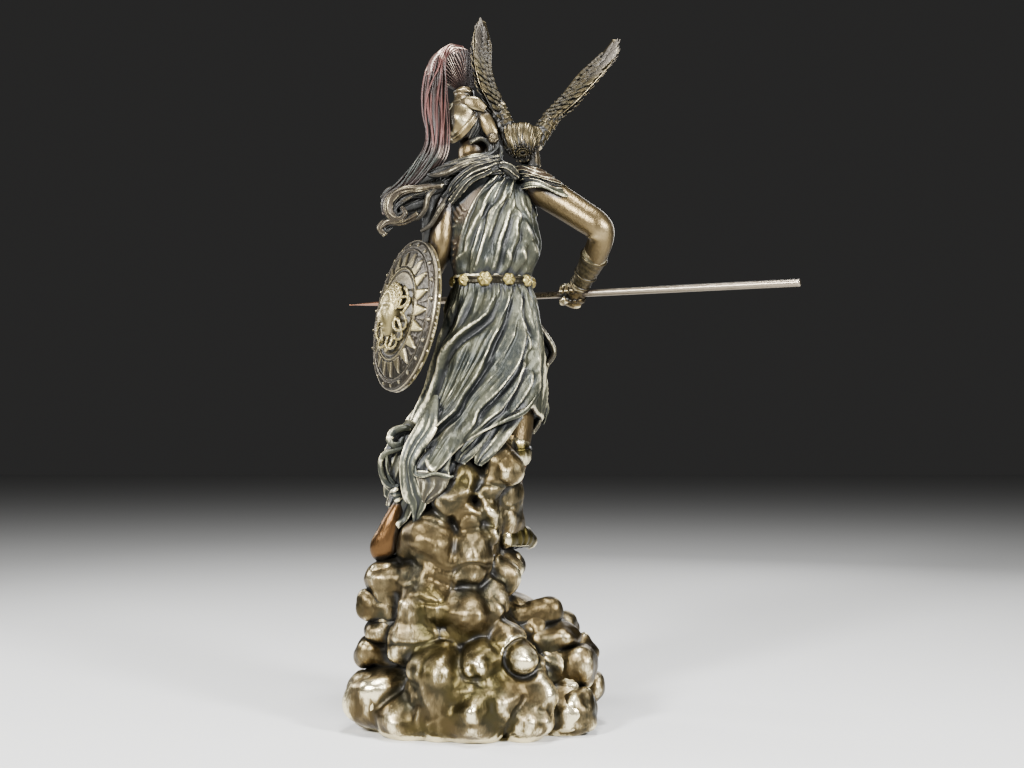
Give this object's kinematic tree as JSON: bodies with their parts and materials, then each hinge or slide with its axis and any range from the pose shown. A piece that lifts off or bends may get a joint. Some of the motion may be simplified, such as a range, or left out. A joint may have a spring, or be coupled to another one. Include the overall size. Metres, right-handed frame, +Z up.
{
  "type": "athena statue",
  "caption": "Cold-cast bronze figurine of the helmeted goddess Athena striding on clouds with owl, round shield and spear, a decoration that stands on a flat base.",
  "frame": {"origin": "middle of the flat underside of the clouds, z = 0 on the table", "axes": "+Z up, +Y the way the figure faces, +X to the figure's right; the picture looks along +Y, from behind"},
  "size_m": [0.1905, 0.1096, 0.2998],
  "materials": {
    "antiqued_bronze": "cast resin with bronze powder, rubbed to bright gold-brown on the high places, blue-grey and umber washes in the cloth, rose on the crest",
    "feathered_bronze": "cast resin with bronze powder, dark gold-brown with pale feather edges",
    "shield_bronze": "cast resin with bronze powder, grey-brown field with pale gold relief and a copper edge",
    "spear_metal": "cast resin with a pale warm metallic paint, copper towards the blade"
  },
  "bodies": {
    "root": {"statue_on_clouds": "antiqued_bronze", "owl": "feathered_bronze", "shield": "shield_bronze", "spear": "spear_metal"}
  },
  "joints": []
}
